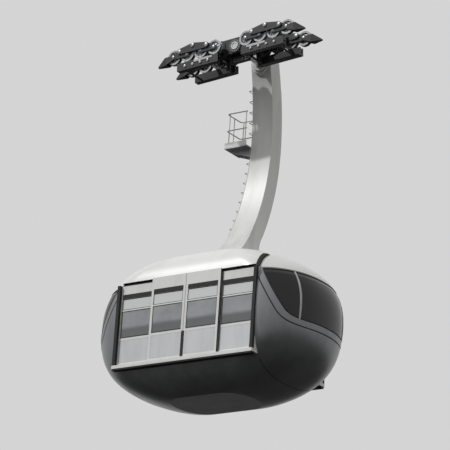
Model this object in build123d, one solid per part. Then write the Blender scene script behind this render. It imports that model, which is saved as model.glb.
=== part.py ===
from build123d import *
import os
from math import asin, cos, degrees, radians, sin, sqrt

# An aerial tramway cabin with its carriage and hanger arm.
# A carriage of sixteen grooved wheels runs on two track ropes. A bent box arm hangs from a cross
# shaft on the carriage, outboard of the far rope, and sweeps back in to the middle of the cabin's
# roof. The cabin is an egg-shaped body with a flat glazed bay and a pair of sliding doors on each
# side, a wrap-round windscreen at each end, and a rounded belly.
#
# Frame: millimetres. The origin is midway between the two track ropes, on the level of their
# centrelines, at the middle of the carriage. +X is along the cabin and uphill, +Y is outboard,
# towards the hanger arm, and +Z is up. The cabin hangs plumb and the carriage follows the slope
# of the ropes. "near" is the -Y side and "far" the +Y side; "up" and "down" are the two ends.

# Ropes
rope_gauge = 880.0
rope_diameter = 49.0
haul_rope_diameter = 33.0
rope_slope = 4.0

# Track wheels
tread_radius = 180.0
flange_height = 36.0
wheel_width = 112.0
flange_land = 12.0
hub_half_width = 64.0
hub_land_radius = 62.0
groove_half_width = 26.0
wheel_pitch = 440.0
inner_wheel_x = 520.0
axle_radius = 38.0
axle_end_inset = 1.0
running_clearance = 0.5

# Wheel rockers and the balance beams that join them in pairs
rocker_plate = 22.0
rocker_side_gap = 14.0
rocker_pivot_rise = 105.0
rocker_end_radius = 70.0
rocker_peak_radius = 72.0
beam_plate = 28.0
beam_side_gap = 8.0
beam_pivot_rise = 85.0
beam_end_radius = 78.0
beam_peak_radius = 78.0
pin_radius = 42.0
pin_head = 14.0

# Rope guides at the ends of the wheel trains
guide_gap = 24.0
guide_cheek = 96.0
guide_plate = 14.0
guide_length = 300.0
guide_tip = 34.0
guide_rope_gap = 6.0

# Carriage frame between the two wheel trains
frame_half_length = 1310.0
frame_half_width = 215.0
frame_plate = 30.0
frame_deep_half_length = 560.0
frame_top_half_length = 640.0
frame_bottom = 10.0
frame_top = 455.0
frame_end_height = 120.0
frame_deck = 26.0
boss_radius = 192.0
boss_reach = 42.0

# Rope brakes, long U-shaped jaws under each rope
brake_start = 380.0
brake_end = 1720.0
brake_half_width = 84.0
brake_jaw = 50.0
brake_top_gap = 30.0
brake_bottom = -255.0
brake_web = 72.0
brake_tube_radius = 30.0
brake_tube_x = (500.0, 1500.0)

# Haul rope clamp
haul_rope_drop = 150.0
clamp_length = 640.0
clamp_half = 62.0
clamp_neck = 56.0

# Cross shaft that carries the hanger arm
shaft_radius = 120.0
collar_height = 34.0
collar_gap = 10.0

# Hanger arm: its inner and outer edges in the Y-Z plane
hub_radius = 250.0
hub_overhang = 60.0
arm_top_inner = 1050.0
arm_top_outer = 1530.0
arm_bow_inner = 1350.0
arm_bow_outer = 1815.0
arm_bow_z = -2000.0
arm_knee_inner = 570.0
arm_knee_outer = 1100.0
arm_knee_z = -5000.0
arm_foot_inner = -380.0
arm_foot_outer = 980.0
arm_top_width = 620.0
arm_knee_width = 735.0
arm_foot_width = 960.0

# Foot that spreads the arm's load on the roof
foot_length = 1640.0
foot_plate = 60.0
foot_block_length = 1120.0
foot_block_height = 70.0
foot_margin = 90.0

# Service platform and ladder on the arm
platform_z = -2150.0
platform_length = 720.0
platform_near_y = 1090.0
platform_far_y = 1830.0
platform_floor = 40.0
platform_bracket = 240.0
bracket_plate = 30.0
toe_board_height = 130.0
toe_board = 12.0
railing_height = 1000.0
rail_radius = 17.0
post_radius = 14.0
rung_pitch = 300.0
rung_width = 360.0
rung_stand_off = 150.0
rung_radius = 12.0
rung_bend = 36.0

# Cabin body; heights are measured from the underside of the side sill
sill_drop = 9200.0
body_half_length = 3380.0
body_half_width = 1720.0
waist_height = 1270.0
crown_height = 3250.0
belly_depth = 770.0
roof_top = 3130.0
belly_bottom = -700.0
roof_end_power = 2.5
roof_side_power = 3.8
belly_end_power = 2.45
belly_side_power = 3.1
nose_roundness = 0.79
nose_fullness = 0.6
body_wall = 60.0
cap_wall = 75.0

# Flat side bay
bay_half_length = 2200.0
bay_plane = 1660.0
bay_depth = 180.0
bay_height = 2300.0
bay_skin = 50.0
jamb_width = 90.0
sill_height = 90.0
sill_ledge = 105.0
header_height = 110.0
door_half_opening = 1010.0
mullion_width = 110.0

# Window rows, shared by the side bays and the door leaves
glass_bottom = 850.0
glass_split = 1610.0
glass_top = 1930.0
transom = 36.0
glass_thickness = 12.0
glass_inset = 10.0
groove_bottom = 1950.0
groove_height = 28.0
groove_depth = 10.0
field_bottom = 160.0
field_top = 780.0
field_depth = 6.0

# Sliding door leaves, hung outside the bay from a rail over it
leaf_gap = 24.0
leaf_thickness = 56.0
leaf_bottom_gap = 8.0
leaf_top = 2380.0
leaf_meeting_gap = 12.0
leaf_lap = 72.0
leaf_border = 70.0
hanger_block = 110.0
hanger_block_margin = 120.0

# Door rail, a channel over the bay that is open towards the leaves
rail_half_length = 2100.0
rail_bottom = 2306.0
rail_top = 2376.0
rail_inner_y = 1560.0
rail_outer_y = 1672.0
rail_wall = 12.0
rail_clearance = 6.0

# Corner strips at the ends of the bays
strip_width = 90.0
strip_plane = 1752.0
shoulder_strip_top = 2760.0
shoulder_strip_rise = 45.0

# Windscreen, drawn in the X-Z plane and cut across the nose
screen_top_x = 2290.0
screen_top = 2246.0
screen_knee_x = 3000.0
screen_sill = 950.0
screen_knee_radius = 420.0
screen_post_y = 1030.0
screen_post_width = 44.0
surround_width = 190.0
surround_seam = 7.0
screen_inset = 8.0

# Inside the cabin
floor_thickness = 45.0
ceiling_thickness = 25.0
grab_rail_radius = 17.0
grab_rail_height = 1960.0
grab_rail_y = 620.0
grab_rail_half_length = 2150.0
rail_hanger_x = (-2050.0, -1025.0, 0.0, 1025.0, 2050.0)
pole_x = (-1550.0, 1550.0)
console_nose_gap = 540.0
console_top_depth = 420.0
console_foot_depth = 260.0
console_height = 900.0
console_width = 860.0

# Roof hatch
hatch_x = -1150.0
hatch_opening = 500.0
coaming_wall = 34.0
coaming_height = 46.0
lid_overhang = 20.0
lid_thickness = 36.0
lid_rounding = 14.0

far_away = 6000.0

os.makedirs("parts", exist_ok=True)


def write(node, *shapes):
    """Writes the named piece, made of the given solids, to its STEP file."""
    solids = [solid for shape in shapes for solid in shape.solids()]
    export_step(Compound(children=solids) if len(solids) > 1 else solids[0], f"parts/{node}.step")


def block(x0, x1, y0, y1, z0, z1):
    """An upright box between two corners."""
    return Pos((x0 + x1) / 2, (y0 + y1) / 2, (z0 + z1) / 2) * Box(x1 - x0, y1 - y0, z1 - z0)


def across(outline, y0, y1):
    """Extrudes an outline drawn as (x, z) from y0 to y1."""
    return Pos(0, y1, 0) * extrude(Plane.XZ * outline, y1 - y0)


def outline_of(*points):
    """A flat face bounded by straight lines between the points."""
    return make_face(Polyline(*points, close=True))


def shaft_y(radius, x, z, y0, y1):
    """A cylinder along Y."""
    return Pos(x, (y0 + y1) / 2, z) * Rot(90, 0, 0) * Cylinder(radius, abs(y1 - y0))


def both_ways(low, high, sign):
    """The interval from low to high, mirrored about zero when sign is negative."""
    return sorted((sign * low, sign * high))


# Carriage: everything on it is drawn level and then tilted with the ropes.
wheel_axle_z = rope_diameter / 2 + tread_radius
flange_radius = tread_radius + flange_height
swing_x = -wheel_axle_z * sin(radians(rope_slope))
swing_z = wheel_axle_z * cos(radians(rope_slope))
wheel_x = [inner_wheel_x + i * wheel_pitch for i in range(4)]
rope_sides = {"near": -rope_gauge / 2, "far": rope_gauge / 2}
ends = {"up": 1, "down": -1}


def on_rope(shape):
    """Tilts a carriage piece about the origin so that it follows the ropes."""
    return Rot(0, -rope_slope, 0) * shape


def grooved_wheel(x, y):
    """A track wheel with a rope groove in its rim, turned in one piece with its axle."""
    half = wheel_width / 2
    axle_end = rocker_outer - axle_end_inset
    profile = outline_of(
        (0, -axle_end), (axle_radius, -axle_end), (axle_radius, -hub_half_width),
        (hub_land_radius, -hub_half_width), (flange_radius, -half),
        (flange_radius, flange_land - half), (tread_radius, -groove_half_width),
        (tread_radius, groove_half_width), (flange_radius, half - flange_land),
        (flange_radius, half), (hub_land_radius, hub_half_width), (axle_radius, hub_half_width),
        (axle_radius, axle_end), (0, axle_end),
    )
    return Pos(x, y, wheel_axle_z) * Rot(90, 0, 0) * revolve(Plane.XZ * profile, Axis.Z)


rocker_inner = wheel_width / 2 + rocker_side_gap
rocker_outer = rocker_inner + rocker_plate


def link_outline(x0, x1, low_z, peak_z, end_radius, peak_radius):
    """A flat triangular link with rounded ends at two axles and a rounded peak at its pivot."""
    ends_and_peak = (
        Pos(x0, low_z) * Circle(end_radius)
        + Pos(x1, low_z) * Circle(end_radius)
        + Pos((x0 + x1) / 2, peak_z) * Circle(peak_radius)
    )
    return make_hull(ends_and_peak.edges())


def plate_pair(outline, y, inner, outer, holes):
    """Two like plates either side of y, bored with the given (radius, x, z) holes."""
    bores = [shaft_y(radius, x, z, y - far_away, y + far_away) for radius, x, z in holes]
    return [
        across(outline, y + low, y + high) - bores
        for low, high in ((inner, outer), (-outer, -inner))
    ]


beam_inner = rocker_outer + beam_side_gap
beam_outer = beam_inner + beam_plate
rocker_pivot_z = wheel_axle_z + rocker_pivot_rise
beam_pivot_z = rocker_pivot_z + beam_pivot_rise
pair_x = [(wheel_x[0] + wheel_x[1]) / 2, (wheel_x[2] + wheel_x[3]) / 2]
beam_x = (pair_x[0] + pair_x[1]) / 2

axle_bore = axle_radius + running_clearance
rockers, beams, pins = [], [], []
for rope_name, rope_y in rope_sides.items():
    for end_name, end in ends.items():
        for number, x in enumerate(wheel_x, 1):
            write(f"wheel_{rope_name}_{end_name}_{number}", on_rope(grooved_wheel(end * x, rope_y)))
        for x in pair_x:
            low_x, high_x = end * x - wheel_pitch / 2, end * x + wheel_pitch / 2
            outline = link_outline(
                low_x, high_x, wheel_axle_z, rocker_pivot_z, rocker_end_radius, rocker_peak_radius
            )
            holes = (
                (axle_bore, low_x, wheel_axle_z), (axle_bore, high_x, wheel_axle_z),
                (pin_radius, end * x, rocker_pivot_z),
            )
            rockers += plate_pair(outline, rope_y, rocker_inner, rocker_outer, holes)
            pins += [
                shaft_y(pin_radius, end * x, rocker_pivot_z, rope_y + low, rope_y + high)
                for low, high in ((rocker_inner, beam_outer), (-beam_outer, -rocker_inner))
            ]
        outline = link_outline(
            end * pair_x[0], end * pair_x[1], rocker_pivot_z, beam_pivot_z, beam_end_radius, beam_peak_radius
        )
        holes = [(pin_radius, end * x, rocker_pivot_z) for x in pair_x]
        holes.append((pin_radius, end * beam_x, beam_pivot_z))
        beams += plate_pair(outline, rope_y, beam_inner, beam_outer, holes)

write("wheel_rockers", *[on_rope(rocker) for rocker in rockers])
write("balance_beams", *[on_rope(beam) for beam in beams])
write("rocker_pins", *[on_rope(pin) for pin in pins])

# Rope guides: a pair of cheeks on each outer rocker, ending in a tapered shoe over the rope.
guide_start = wheel_x[-1] + flange_radius + guide_gap
guide_end = guide_start + guide_length
guide_outer = rocker_outer + guide_plate
shoe_bottom = rope_diameter / 2 + guide_rope_gap
guides = []
for rope_y in rope_sides.values():
    for end in ends.values():
        side_outline = outline_of(
            (end * (wheel_x[-1] - guide_cheek / 2), wheel_axle_z + guide_cheek / 2),
            (end * (wheel_x[-1] - guide_cheek / 2), wheel_axle_z - guide_cheek / 2),
            (end * guide_start, shoe_bottom), (end * guide_end, shoe_bottom),
            (end * guide_end, shoe_bottom + guide_tip),
            (end * (guide_start + guide_cheek / 2), wheel_axle_z + guide_cheek / 2),
        )
        plan_outline = outline_of(
            (0, -guide_outer), (end * guide_start, -guide_outer), (end * guide_end, -guide_tip),
            (end * guide_end, guide_tip), (end * guide_start, guide_outer), (0, guide_outer),
        )
        guide = across(side_outline, rope_y - guide_outer, rope_y + guide_outer)
        guide &= Pos(0, rope_y, 0) * extrude(plan_outline, far_away)
        wheel_room = both_ways(0, guide_start, end)
        guides.append(
            guide - block(*wheel_room, rope_y - rocker_outer, rope_y + rocker_outer, -far_away, far_away)
        )
write("rope_guides", *[on_rope(guide) for guide in guides])

# Carriage frame: two deep side plates with a deck, a belly plate and cross tubes between them, a
# round boss for the cross shaft, and a through pin to each pair of balance beams.
frame_inner = frame_half_width - frame_plate
end_low, end_high = beam_pivot_z - frame_end_height / 2, beam_pivot_z + frame_end_height / 2
side_plate = outline_of(
    (-frame_half_length, end_low), (-frame_deep_half_length, frame_bottom),
    (frame_deep_half_length, frame_bottom), (frame_half_length, end_low),
    (frame_half_length, end_high), (frame_top_half_length, frame_top),
    (-frame_top_half_length, frame_top), (-frame_half_length, end_high),
)
frame = across(side_plate, -frame_half_width, -frame_inner) + across(side_plate, frame_inner, frame_half_width)
deck_length = 2 * frame_deep_half_length
frame += block(
    -deck_length / 2, deck_length / 2, -frame_inner, frame_inner, frame_bottom, frame_bottom + frame_deck
)
frame += block(-deck_length / 2, deck_length / 2, -frame_inner, frame_inner, frame_top - frame_deck, frame_top)
boss_end = frame_half_width + boss_reach
frame += shaft_y(boss_radius, 0, wheel_axle_z, -boss_end, boss_end)
trunnion_reach = rope_gauge / 2 + beam_outer + pin_head
for end in ends.values():
    frame += shaft_y(pin_radius, end * beam_x, beam_pivot_z, -trunnion_reach, trunnion_reach)
    frame += shaft_y(frame_end_height / 2, end * beam_x, beam_pivot_z, -frame_half_width, frame_half_width)
    bracket_x = end * brake_tube_x[0]
    bracket = outline_of(
        (bracket_x - 3 * brake_tube_radius, frame_bottom + frame_deck),
        (bracket_x - 2 * brake_tube_radius, brake_bottom), (bracket_x + 2 * brake_tube_radius, brake_bottom),
        (bracket_x + 3 * brake_tube_radius, frame_bottom + frame_deck),
    )
    frame += across(bracket, -frame_half_width, -frame_inner) + across(bracket, frame_inner, frame_half_width)
frame -= shaft_y(shaft_radius, 0, wheel_axle_z, -far_away, far_away)

# Rope brakes: a U-shaped jaw under each rope, joined in pairs by cross tubes through the frame.
brake_tube_z = brake_bottom + brake_web / 2
brake_reach = rope_gauge / 2 + brake_half_width
brakes = []
for end in ends.values():
    brake_x = both_ways(brake_start, brake_end, end)
    brake = [
        block(*brake_x, y - brake_half_width, y + brake_half_width, brake_bottom, -brake_top_gap)
        - block(
            -far_away, far_away, y - brake_half_width + brake_jaw, y + brake_half_width - brake_jaw,
            brake_bottom + brake_web, 0,
        )
        for y in rope_sides.values()
    ]
    tubes = [shaft_y(brake_tube_radius, end * x, brake_tube_z, -brake_reach, brake_reach) for x in brake_tube_x]
    brakes.append(brake[0] + brake[1] + tubes)
    frame -= tubes
write("rope_brakes", *[on_rope(brake) for brake in brakes])
write("carriage_frame", on_rope(frame))

# Haul rope clamp: a rounded block on a neck under the frame, bored for the haul rope.
clamp_z = -haul_rope_drop
clamp = block(
    -clamp_length / 2, clamp_length / 2, -clamp_half, clamp_half, clamp_z - clamp_half, clamp_z + clamp_half
)
clamp = fillet(clamp.edges().filter_by(Axis.X), clamp_half / 3)
clamp += block(
    -clamp_length / 3, clamp_length / 3, -clamp_neck / 2, clamp_neck / 2, clamp_z + clamp_half / 2, frame_bottom
)
haul_rope = Pos(0, 0, clamp_z) * Rot(0, 90, 0) * Cylinder(haul_rope_diameter / 2, far_away)
write("haul_rope_clamp", on_rope(clamp - haul_rope))

# Cross shaft: pressed through the frame and out to the hanger arm, with a collar at its end.
hub_inner_y, hub_outer_y = arm_top_inner - hub_overhang, arm_top_outer + hub_overhang
shaft_end_y = hub_outer_y + collar_gap + collar_height
shaft = shaft_y(shaft_radius, 0, wheel_axle_z, -boss_end, shaft_end_y)
shaft += shaft_y(shaft_radius + collar_height, 0, wheel_axle_z, hub_outer_y + collar_gap, shaft_end_y)
shaft += shaft_y(
    shaft_radius + collar_height, 0, wheel_axle_z,
    hub_inner_y - collar_gap - collar_height, hub_inner_y - collar_gap,
)
write("swing_shaft", on_rope(shaft))

# Hanger arm: each long edge is an arc down from the hub to the bow, an arc in to the knee, and a
# flare out to the foot. The side profile is cut to the arm's taper.
foot_top = roof_top - sill_drop + foot_plate + foot_block_height


def arm_edge(top_y, bow_y, knee_y, foot_y):
    """One long edge of the arm, from the hub to the foot."""
    reach, drop = bow_y - knee_y, arm_bow_z - arm_knee_z
    turn = asin(drop / ((reach**2 + drop**2) / (2 * reach)))
    return [
        TangentArc((bow_y, arm_bow_z), (top_y, swing_z), tangent=(0, 1)),
        TangentArc((bow_y, arm_bow_z), (knee_y, arm_knee_z), tangent=(0, -1)),
        TangentArc((knee_y, arm_knee_z), (foot_y, foot_top), tangent=(-sin(turn), -cos(turn))),
    ]


arm_side = make_face(
    arm_edge(arm_top_inner, arm_bow_inner, arm_knee_inner, arm_foot_inner)
    + arm_edge(arm_top_outer, arm_bow_outer, arm_knee_outer, arm_foot_outer)
    + [
        Line((arm_top_inner, swing_z), (arm_top_outer, swing_z)),
        Line((arm_foot_inner, foot_top), (arm_foot_outer, foot_top)),
    ]
)
half_top, half_knee, half_foot = arm_top_width / 2, arm_knee_width / 2, arm_foot_width / 2
arm_front = make_face(
    [
        Line((-half_top, swing_z), (half_top, swing_z)),
        Line((half_top, swing_z), (half_knee, arm_knee_z)),
        TangentArc((half_knee, arm_knee_z), (half_foot, foot_top), tangent=(0, -1)),
        Line((half_foot, foot_top), (-half_foot, foot_top)),
        TangentArc((-half_knee, arm_knee_z), (-half_foot, foot_top), tangent=(0, -1)),
        Line((-half_knee, arm_knee_z), (-half_top, swing_z)),
    ]
)
arm = Pos(swing_x - arm_foot_width, 0, 0) * extrude(Plane.YZ * arm_side, 2 * arm_foot_width)
arm &= Pos(swing_x, 0, 0) * across(arm_front, -far_away, far_away)
arm += shaft_y(arm_top_width / 2, swing_x, swing_z, arm_top_inner, arm_top_outer)
arm += shaft_y(hub_radius, swing_x, swing_z, hub_inner_y, hub_outer_y)
arm -= shaft_y(shaft_radius + running_clearance, swing_x, swing_z, 0, far_away)
write("hanger_arm", arm)

# Hanger foot: a plate bolted to the roof with a block on it that the arm is welded to.
roof_z = roof_top - sill_drop
foot_y0, foot_y1 = arm_foot_inner - foot_margin, arm_foot_outer + foot_margin
foot = block(swing_x - foot_length / 2, swing_x + foot_length / 2, foot_y0, foot_y1, roof_z, roof_z + foot_plate)
foot += block(
    swing_x - foot_block_length / 2, swing_x + foot_block_length / 2, foot_y0, foot_y1,
    roof_z + foot_plate, foot_top,
)
write("hanger_foot", foot)


# Service platform: a deck on brackets on the downhill face of the arm.
def arm_half_width(z):
    """Half the arm's width along X at a height above the knee."""
    return half_top + (half_knee - half_top) * (swing_z - z) / (swing_z - arm_knee_z)


platform_x1 = swing_x - arm_half_width(platform_z)
platform_x0 = platform_x1 - platform_length
deck_bottom = platform_z - platform_floor
deck = block(platform_x0, platform_x1, platform_near_y, platform_far_y, deck_bottom, platform_z)
bracket = outline_of(
    (platform_x0 + toe_board, deck_bottom), (platform_x1, deck_bottom), (platform_x1, deck_bottom - platform_bracket)
)
for y in (arm_bow_inner + bracket_plate, arm_bow_outer - 2 * bracket_plate):
    deck += across(bracket, y, y + bracket_plate)
write("platform_deck", deck - arm)

# Toe boards and tubular railing on the three open sides of the platform
board_room = block(
    platform_x0 + toe_board, platform_x1, platform_near_y + toe_board, platform_far_y - toe_board,
    platform_z, platform_z + toe_board_height,
)
boards = block(
    platform_x0, platform_x1, platform_near_y, platform_far_y, platform_z, platform_z + toe_board_height
)
write("toe_boards", boards - board_room - arm)
rail_x0, rail_x1 = platform_x0 + toe_board + rail_radius, platform_x1 - 2 * rail_radius
rail_y0, rail_y1 = platform_near_y + toe_board + rail_radius, platform_far_y - toe_board - rail_radius
rail_tops = []
for height in (railing_height / 2, railing_height):
    z = platform_z + height
    path = FilletPolyline(
        (rail_x1, rail_y0, z), (rail_x0, rail_y0, z), (rail_x0, rail_y1, z), (rail_x1, rail_y1, z),
        radius=4 * rail_radius,
    )
    rail_tops.append(sweep(Plane(path @ 0, z_dir=path % 0) * Circle(rail_radius), path))
posts = [
    Pos(x, y, platform_z + railing_height / 2) * Cylinder(post_radius, railing_height)
    for x, y in (
        (rail_x0 + 5 * rail_radius, rail_y0), (rail_x1 - 2 * rail_radius, rail_y0),
        (rail_x0 + 5 * rail_radius, rail_y1), (rail_x1 - 2 * rail_radius, rail_y1),
        (rail_x0, (rail_y0 + rail_y1) / 2),
    )
]
write("platform_railing", rail_tops[0] + rail_tops[1:] + posts)

# Ladder: bent rungs on the downhill face of the arm, from the roof to the carriage.
knee_reach = arm_bow_z - arm_knee_z


def arm_middle(z):
    """The arm's middle in Y at a height above the knee."""
    bow, top = (arm_bow_inner + arm_bow_outer) / 2, (arm_top_inner + arm_top_outer) / 2
    knee = (arm_knee_inner + arm_knee_outer) / 2
    side, far_y, span = (top, top, swing_z - arm_bow_z) if z > arm_bow_z else (knee, knee, knee_reach)
    radius = ((bow - far_y) ** 2 + span**2) / (2 * (bow - far_y))
    return bow - radius + sqrt(radius**2 - (z - arm_bow_z) ** 2)


rungs = []
rung_z = arm_knee_z + rung_pitch
while rung_z < swing_z - arm_top_width:
    if rung_z > platform_z + rung_pitch or rung_z < deck_bottom - platform_bracket - rung_radius:
        face_x, y = swing_x - arm_half_width(rung_z), arm_middle(rung_z)
        path = FilletPolyline(
            (face_x, y - rung_width / 2, rung_z), (face_x - rung_stand_off, y - rung_width / 2, rung_z),
            (face_x - rung_stand_off, y + rung_width / 2, rung_z), (face_x, y + rung_width / 2, rung_z),
            radius=rung_bend,
        )
        rungs.append(sweep(Plane(path @ 0, z_dir=path % 0) * Circle(rung_radius), path) - arm)
    rung_z += rung_pitch
write("ladder_rungs", *rungs)


# Cabin body: an egg lofted through horizontal sections. Each section has straight sides and a
# rounded nose at each end; its size follows a rounded profile above and below the waist.
def at_cabin(shape):
    """Places a shape drawn with heights from the side sill and x from the arm's middle."""
    return Pos(swing_x, 0, -sill_drop) * shape


def cabin_block(*corners):
    """A box given in the cabin's own heights."""
    return at_cabin(block(*corners))


def body_size(height, inset):
    """Half length and half width of the body at a height, inset along the body's normal."""
    above = height > waist_height
    reach = crown_height - waist_height if above else waist_height + belly_depth
    share = abs(height - waist_height) / reach
    sizes = []
    for full, power in (
        (body_half_length, roof_end_power if above else belly_end_power),
        (body_half_width, roof_side_power if above else belly_side_power),
    ):
        size = full * (1 - share**power) ** (1 / power)
        slope = full * share ** (power - 1) * (1 - share**power) ** (1 / power - 1) / reach
        sizes.append(size - inset * sqrt(1 + slope**2))
    return sizes


def body_section(height, inset):
    """The body's outline at a height: two straight sides and two noses of two curves each."""
    a, b = body_size(height, inset)
    side = a - nose_roundness * b
    pull = side + nose_fullness * (a - side)
    edges = []
    for s in (1, -1):
        edges += [
            Line((-s * side, s * b), (s * side, s * b)),
            Bezier((s * side, s * b), (s * pull, s * b), (s * a, s * nose_fullness * b), (s * a, 0)),
            Bezier((s * a, 0), (s * a, -s * nose_fullness * b), (s * pull, -s * b), (s * side, -s * b)),
        ]
    return at_cabin(Pos(0, 0, height) * make_face(edges))


def body_form(inset, *heights):
    """The egg between the lowest and highest of the heights, inset along its normal."""
    return loft([body_section(height, inset) for height in heights])


skin = body_form(0, belly_bottom, -560, -250, 350, waist_height, 2100, 2700, 2980, roof_top)
room = body_form(
    body_wall, belly_bottom + cap_wall, -400, 100, 620, waist_height, 1850, 2350, 2800, roof_top - cap_wall
)
shell = skin - room
roof = shell & cabin_block(-far_away, far_away, -far_away, far_away, bay_height, far_away)
belly = shell & cabin_block(-bay_half_length, bay_half_length, -far_away, far_away, -far_away, 0)
write("belly_shell", belly)


# Windscreens and noses: the screen's outline is drawn from the side and cut right across the nose.
def screen_outline(end, grow, top):
    """The windscreen's sloping edge and sill as seen from the side, grown by the given amount."""
    rise = screen_top - screen_sill
    run = screen_knee_x - screen_top_x
    shift = grow * sqrt(rise**2 + run**2) / rise
    lean = run / rise
    sill = screen_sill - grow
    top_x = screen_top_x - shift - lean * (top - screen_top)
    knee_x = screen_knee_x - shift + lean * grow
    face = outline_of((top_x, top), (knee_x, sill), (far_away, sill), (far_away, top))
    knee = face.vertices().sort_by_distance((knee_x, sill))[0]
    face = fillet(knee, screen_knee_radius + grow)
    return face if end > 0 else mirror(face, Plane.YZ)


glass_outside = body_form(screen_inset, screen_sill - 100, 1400, 1850, bay_height)
glass_inside = body_form(screen_inset + glass_thickness, screen_sill - 100, 1400, 1850, bay_height)
surrounds = []
for end_name, end in ends.items():
    nose_x = both_ways(bay_half_length, far_away, end)
    nose = shell & cabin_block(*nose_x, -far_away, far_away, -far_away, bay_height)
    screen_zone = at_cabin(across(screen_outline(end, 0, screen_top), -far_away, far_away))
    posts = [
        cabin_block(
            *nose_x, y - screen_post_width / 2, y + screen_post_width / 2, screen_sill, screen_top
        )
        for y in (-screen_post_y, screen_post_y)
    ]
    opening = screen_zone - posts
    surround_zone = at_cabin(across(screen_outline(end, surround_width, bay_height), -far_away, far_away))
    core_zone = at_cabin(
        across(screen_outline(end, surround_width + surround_seam, bay_height), -far_away, far_away)
    )
    surrounds.append((nose & surround_zone) - opening)
    write(f"nose_shell_{end_name}", nose - core_zone)
    nose_side = cabin_block(*nose_x, -far_away, far_away, 0, bay_height)
    write(f"windscreen_{end_name}", (glass_outside - glass_inside) & opening & nose_side)
write("windscreen_surrounds", *surrounds)


# Flat side bays: drawn for the far side and turned half round for the near side. Each is a deep
# frame with a thin outer skin, cut for the doorway and a window at each end.
def window_openings(x0, x1, y0, y1):
    """The main light and the upper light over it."""
    return [
        block(x0, x1, y0, y1, glass_bottom, glass_split - transom / 2),
        block(x0, x1, y0, y1, glass_split + transom / 2, glass_top),
    ]


def window_panes(x0, x1, face_y):
    """The two panes that fill window_openings, set back from the outer face."""
    return window_openings(x0, x1, face_y - glass_inset - glass_thickness, face_y - glass_inset)


def face_recesses(x0, x1, face_y):
    """The shallow lower field and the rain groove over the windows, cut into an outer face."""
    return [
        block(x0, x1, face_y - field_depth, far_away, field_bottom, field_top),
        block(x0, x1, face_y - groove_depth, far_away, groove_bottom, groove_bottom + groove_height),
    ]


leaf_inner = bay_plane + leaf_gap
leaf_outer = leaf_inner + leaf_thickness
leaf_bottom = sill_height + leaf_bottom_gap
ledge_plane = bay_plane + sill_ledge
window_x0 = door_half_opening + mullion_width
window_x1 = bay_half_length - jamb_width - strip_width / 2
leaf_x0, leaf_x1 = leaf_meeting_gap / 2, door_half_opening + leaf_lap
turns = {"far": Rot(0, 0, 0), "near": Rot(0, 0, 180)}
rails, strips = [], []
for side_name, turn in turns.items():
    bay = block(-bay_half_length, bay_half_length, bay_plane - bay_depth, bay_plane, 0, bay_height)
    bay += block(-bay_half_length, bay_half_length, bay_plane, ledge_plane, 0, sill_height)
    bay -= block(
        jamb_width - bay_half_length, bay_half_length - jamb_width, 0, bay_plane - bay_skin,
        sill_height, bay_height - header_height,
    )
    bay -= block(
        -door_half_opening, door_half_opening, 0, far_away, sill_height, bay_height - header_height
    )
    panes = []
    for end in ends.values():
        window_x = both_ways(window_x0, window_x1, end)
        bay -= window_openings(*window_x, bay_plane - bay_depth, far_away)
        bay -= face_recesses(*window_x, bay_plane)
        panes += window_panes(*window_x, bay_plane)
        strip_x = both_ways(bay_half_length - strip_width, bay_half_length, end)
        strips.append(at_cabin(turn * block(*strip_x, bay_plane, strip_plane, sill_height, bay_height)))
    write(f"side_frame_{side_name}", at_cabin(turn * bay))
    write(f"side_windows_{side_name}", *[at_cabin(turn * pane) for pane in panes])

    rail = block(-rail_half_length, rail_half_length, rail_inner_y, rail_outer_y, rail_bottom, rail_top)
    rail -= block(
        -far_away, far_away, rail_inner_y + rail_wall, far_away, rail_bottom + rail_wall, rail_top - rail_wall
    )
    rails.append(at_cabin(turn * rail))
    roof -= at_cabin(
        turn
        * block(
            -rail_half_length, rail_half_length, rail_inner_y, far_away,
            bay_height, rail_top + rail_clearance,
        )
    )

    for end_name, end in ends.items():
        leaf = block(*both_ways(leaf_x0, leaf_x1, end), leaf_inner, leaf_outer, leaf_bottom, leaf_top)
        glass_x = both_ways(leaf_x0 + leaf_border, leaf_x1 - leaf_border, end)
        leaf -= window_openings(*glass_x, 0, far_away)
        leaf -= face_recesses(*glass_x, leaf_outer)
        for x in (leaf_x0 + hanger_block_margin, leaf_x1 - hanger_block_margin - hanger_block):
            leaf += block(
                *both_ways(x, x + hanger_block, end), rail_inner_y + rail_wall + rail_clearance, leaf_inner,
                rail_bottom + rail_wall + rail_clearance, rail_top - rail_wall - rail_clearance,
            )
        world_end = end_name if side_name == "far" else {"up": "down", "down": "up"}[end_name]
        write(f"door_leaf_{side_name}_{world_end}", at_cabin(turn * leaf))
        glass = [at_cabin(turn * pane) for pane in window_panes(*glass_x, leaf_outer)]
        write(f"door_glass_{side_name}_{world_end}", *glass)
write("door_rails", *rails)

# Corner strips: a rubber fender at each end of each bay; one runs on over the roof's shoulder.
shoulder = body_form(-shoulder_strip_rise, bay_height - 100, 2500, shoulder_strip_top + 100) - skin
shoulder &= cabin_block(
    bay_half_length - strip_width, bay_half_length, -far_away, 0, bay_height, shoulder_strip_top
)
write("corner_strips", *strips, shoulder)

# Floor and ceiling: slabs as wide as the room, kept clear of the side bays.
bay_block = cabin_block(
    -bay_half_length, bay_half_length, bay_plane - bay_depth, far_away, -far_away, far_away
)
side_room = bay_block + Rot(0, 0, 180) * Pos(-2 * swing_x, 0, 0) * bay_block
floor = room & cabin_block(-far_away, far_away, -far_away, far_away, 0, floor_thickness)
write("floor_deck", floor - side_room)
ceiling = room & cabin_block(
    -far_away, far_away, -far_away, far_away, bay_height - ceiling_thickness, bay_height
)

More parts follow.
